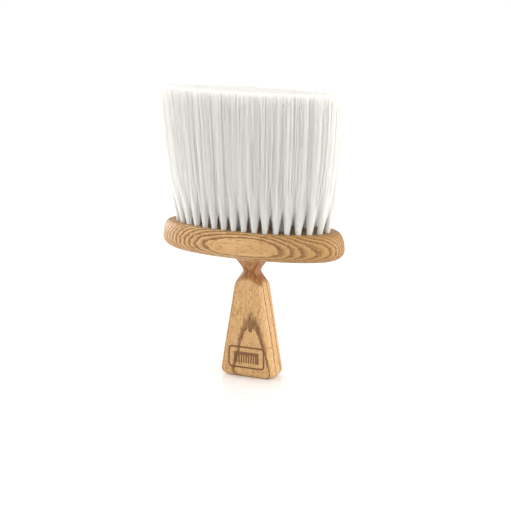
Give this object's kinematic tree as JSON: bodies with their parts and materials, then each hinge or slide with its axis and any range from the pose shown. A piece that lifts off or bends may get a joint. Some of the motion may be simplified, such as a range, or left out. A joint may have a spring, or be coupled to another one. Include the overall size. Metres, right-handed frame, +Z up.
{
  "type": "neck duster brush",
  "caption": "Barber's neck brush: soft white nylon tufts in an oval wooden block on a short flared wooden handle that stands on its flat base.",
  "frame": {"origin": "centre of the handle's flat base, which the brush stands on", "axes": "+Z up through the handle to the bristle tips, +X along the head's long side, +Y through its thin side"},
  "size_m": [0.1238, 0.0496, 0.1768],
  "materials": {
    "handle_wood": "satin",
    "head_wood": "satin",
    "bristle": "satin"
  },
  "bodies": {
    "root": {"handle": "handle_wood", "head_block": "head_wood", "tuft_outer_01": "bristle", "tuft_outer_02": "bristle", "tuft_outer_03": "bristle", "tuft_outer_04": "bristle", "tuft_outer_05": "bristle", "tuft_outer_06": "bristle", "tuft_outer_07": "bristle", "tuft_outer_08": "bristle", "tuft_outer_09": "bristle", "tuft_outer_10": "bristle", "tuft_outer_11": "bristle", "tuft_outer_12": "bristle", "tuft_outer_13": "bristle", "tuft_outer_14": "bristle", "tuft_outer_15": "bristle", "tuft_outer_16": "bristle", "tuft_outer_17": "bristle", "tuft_outer_18": "bristle", "tuft_outer_19": "bristle", "tuft_outer_20": "bristle", "tuft_outer_21": "bristle", "tuft_outer_22": "bristle", "tuft_outer_23": "bristle", "tuft_outer_24": "bristle", "tuft_outer_25": "bristle", "tuft_outer_26": "bristle", "tuft_outer_27": "bristle", "tuft_outer_28": "bristle", "tuft_outer_29": "bristle", "tuft_outer_30": "bristle", "tuft_outer_31": "bristle", "tuft_outer_32": "bristle", "tuft_outer_33": "bristle", "tuft_outer_34": "bristle", "tuft_middle_01": "bristle", "tuft_middle_02": "bristle", "tuft_middle_03": "bristle", "tuft_middle_04": "bristle", "tuft_middle_05": "bristle", "tuft_middle_06": "bristle", "tuft_middle_07": "bristle", "tuft_middle_08": "bristle", "tuft_middle_09": "bristle", "tuft_middle_10": "bristle", "tuft_middle_11": "bristle", "tuft_middle_12": "bristle", "tuft_middle_13": "bristle", "tuft_middle_14": "bristle", "tuft_middle_15": "bristle", "tuft_middle_16": "bristle", "tuft_middle_17": "bristle", "tuft_middle_18": "bristle", "tuft_centre_01": "bristle", "tuft_centre_02": "bristle", "tuft_centre_03": "bristle", "tuft_centre_04": "bristle", "tuft_centre_05": "bristle"}
  },
  "joints": []
}
